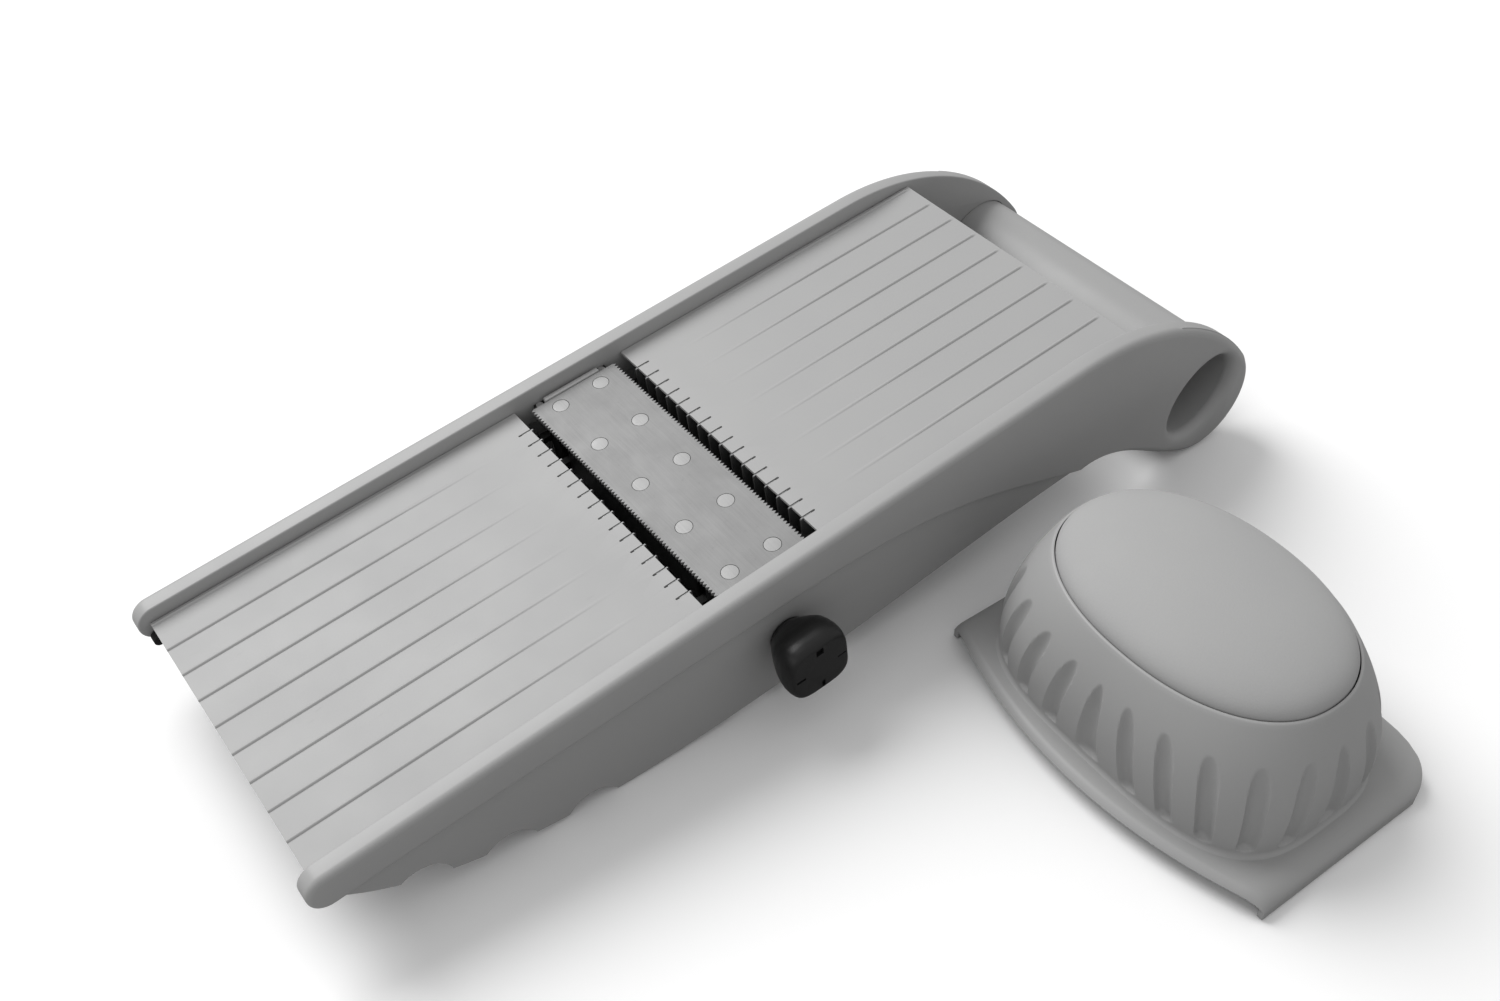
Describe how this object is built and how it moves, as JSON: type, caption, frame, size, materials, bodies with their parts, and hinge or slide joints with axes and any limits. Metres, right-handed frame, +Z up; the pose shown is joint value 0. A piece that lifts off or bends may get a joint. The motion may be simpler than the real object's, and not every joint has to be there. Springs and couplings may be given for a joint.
{
  "type": "mandoline slicer",
  "caption": "Hand mandoline with a double-edged flush blade, drop plates set by a side knob, lifting julienne combs, hollow grip and a press-down hand guard.",
  "frame": {"origin": "middle of the footprint of the slicer and its guard, on the worktop", "axes": "+X across the slicer towards the knob and the guard, +Y along the runway from the near end to the grip, +Z up"},
  "size_m": [0.2842, 0.3862, 0.0749],
  "materials": {
    "body_plastic": "satin moulded",
    "plate_plastic": "fine satin",
    "dark_plastic": "satin black",
    "knob_plastic": "fine matt black",
    "guard_plastic": "satin moulded",
    "soft_touch": "soft-touch, fine grain",
    "rubber": "matt black",
    "blade_steel": "fine brushed",
    "bright_steel": "bright"
  },
  "bodies": {
    "frame": {"right_side_rail": "body_plastic", "left_side_rail": "body_plastic", "handle_grip": "body_plastic", "front_hinge_rod": "bright_steel", "rear_hinge_rod": "bright_steel", "blade": "blade_steel", "blade_bridge": "dark_plastic", "blade_end_clip": "body_plastic", "blade_rivet_1": "bright_steel", "blade_rivet_2": "bright_steel", "blade_rivet_3": "bright_steel", "blade_rivet_4": "bright_steel", "blade_rivet_5": "bright_steel", "blade_rivet_6": "bright_steel", "blade_rivet_7": "bright_steel", "blade_rivet_8": "bright_steel", "blade_rivet_9": "bright_steel", "blade_rivet_10": "bright_steel", "bridge_screw_left_front": "bright_steel", "bridge_screw_left_rear": "bright_steel", "bridge_screw_right_front": "bright_steel", "bridge_screw_right_rear": "bright_steel", "brace_screw_left_front": "bright_steel", "brace_screw_left_rear": "bright_steel", "brace_screw_right_front": "bright_steel", "brace_screw_right_rear": "bright_steel", "left_tip_foot": "rubber", "right_tip_foot": "rubber", "left_shaft_bush": "dark_plastic", "right_shaft_bush": "dark_plastic", "front_cross_brace": "dark_plastic", "rear_cross_brace": "dark_plastic", "detent_spring": "bright_steel"},
    "selector": {"selector_knob": "knob_plastic", "selector_shaft": "bright_steel", "index_wheel": "dark_plastic", "shaft_retaining_ring": "bright_steel", "left_drop_cam": "dark_plastic", "right_drop_cam": "dark_plastic", "left_comb_cam": "dark_plastic", "right_comb_cam": "dark_plastic"},
    "height_carriage": {"height_carriage": "dark_plastic"},
    "comb_carriage": {"comb_carriage": "dark_plastic", "front_julienne_comb": "blade_steel", "rear_julienne_comb": "blade_steel"},
    "front_plate": {"front_runway_plate": "plate_plastic"},
    "rear_plate": {"rear_runway_plate": "plate_plastic"},
    "guard": {"guard_shell": "guard_plastic", "pusher_spring": "bright_steel"},
    "pusher": {"guard_cap": "soft_touch", "pusher_plate": "dark_plastic", "pusher_screw": "bright_steel"}
  },
  "joints": [
    {"name": "selector_turn", "type": "hinge", "parent": "frame", "child": "selector", "pos_m": [-0.07607, -0.02687, 0.02851], "axis": [1, 0, 0], "range_deg": [0, 270]},
    {"name": "height_carriage_slide", "type": "slide", "parent": "frame", "child": "height_carriage", "axis": [0, 0.1154, -0.9933], "range_m": [0, 0.0045]},
    {"name": "comb_lift", "type": "slide", "parent": "frame", "child": "comb_carriage", "axis": [0, -0.1154, 0.9933], "range_m": [0, 0.007]},
    {"name": "front_plate_tilt", "type": "hinge", "parent": "frame", "child": "front_plate", "pos_m": [-0.07607, -0.18267, 0.02984], "axis": [-1, 0, 0], "range_deg": [0, 1.96]},
    {"name": "rear_plate_tilt", "type": "hinge", "parent": "frame", "child": "rear_plate", "pos_m": [-0.07607, 0.12149, 0.06518], "axis": [1, 0, 0], "range_deg": [0, 2]},
    {"name": "guard_lift_off", "type": "slide", "parent": "frame", "child": "guard", "axis": [0, 0, 1], "range_m": [0, 0.08]},
    {"name": "pusher_press", "type": "slide", "parent": "guard", "child": "pusher", "axis": [0, 0, -1], "range_m": [0, 0.014], "stiffness_N_per_m": 350, "springref_m": -0.008, "deforming": ["pusher_spring"]}
  ],
  "couplings": [
    {"joint": "height_carriage_slide", "follows": "selector_turn", "m_per_rad": 0.00095493},
    {"joint": "comb_lift", "follows": "selector_turn", "m_per_rad": 0.0014854},
    {"joint": "front_plate_tilt", "follows": "selector_turn", "ratio": 0.0072357},
    {"joint": "rear_plate_tilt", "follows": "selector_turn", "ratio": 0.0074041}
  ]
}
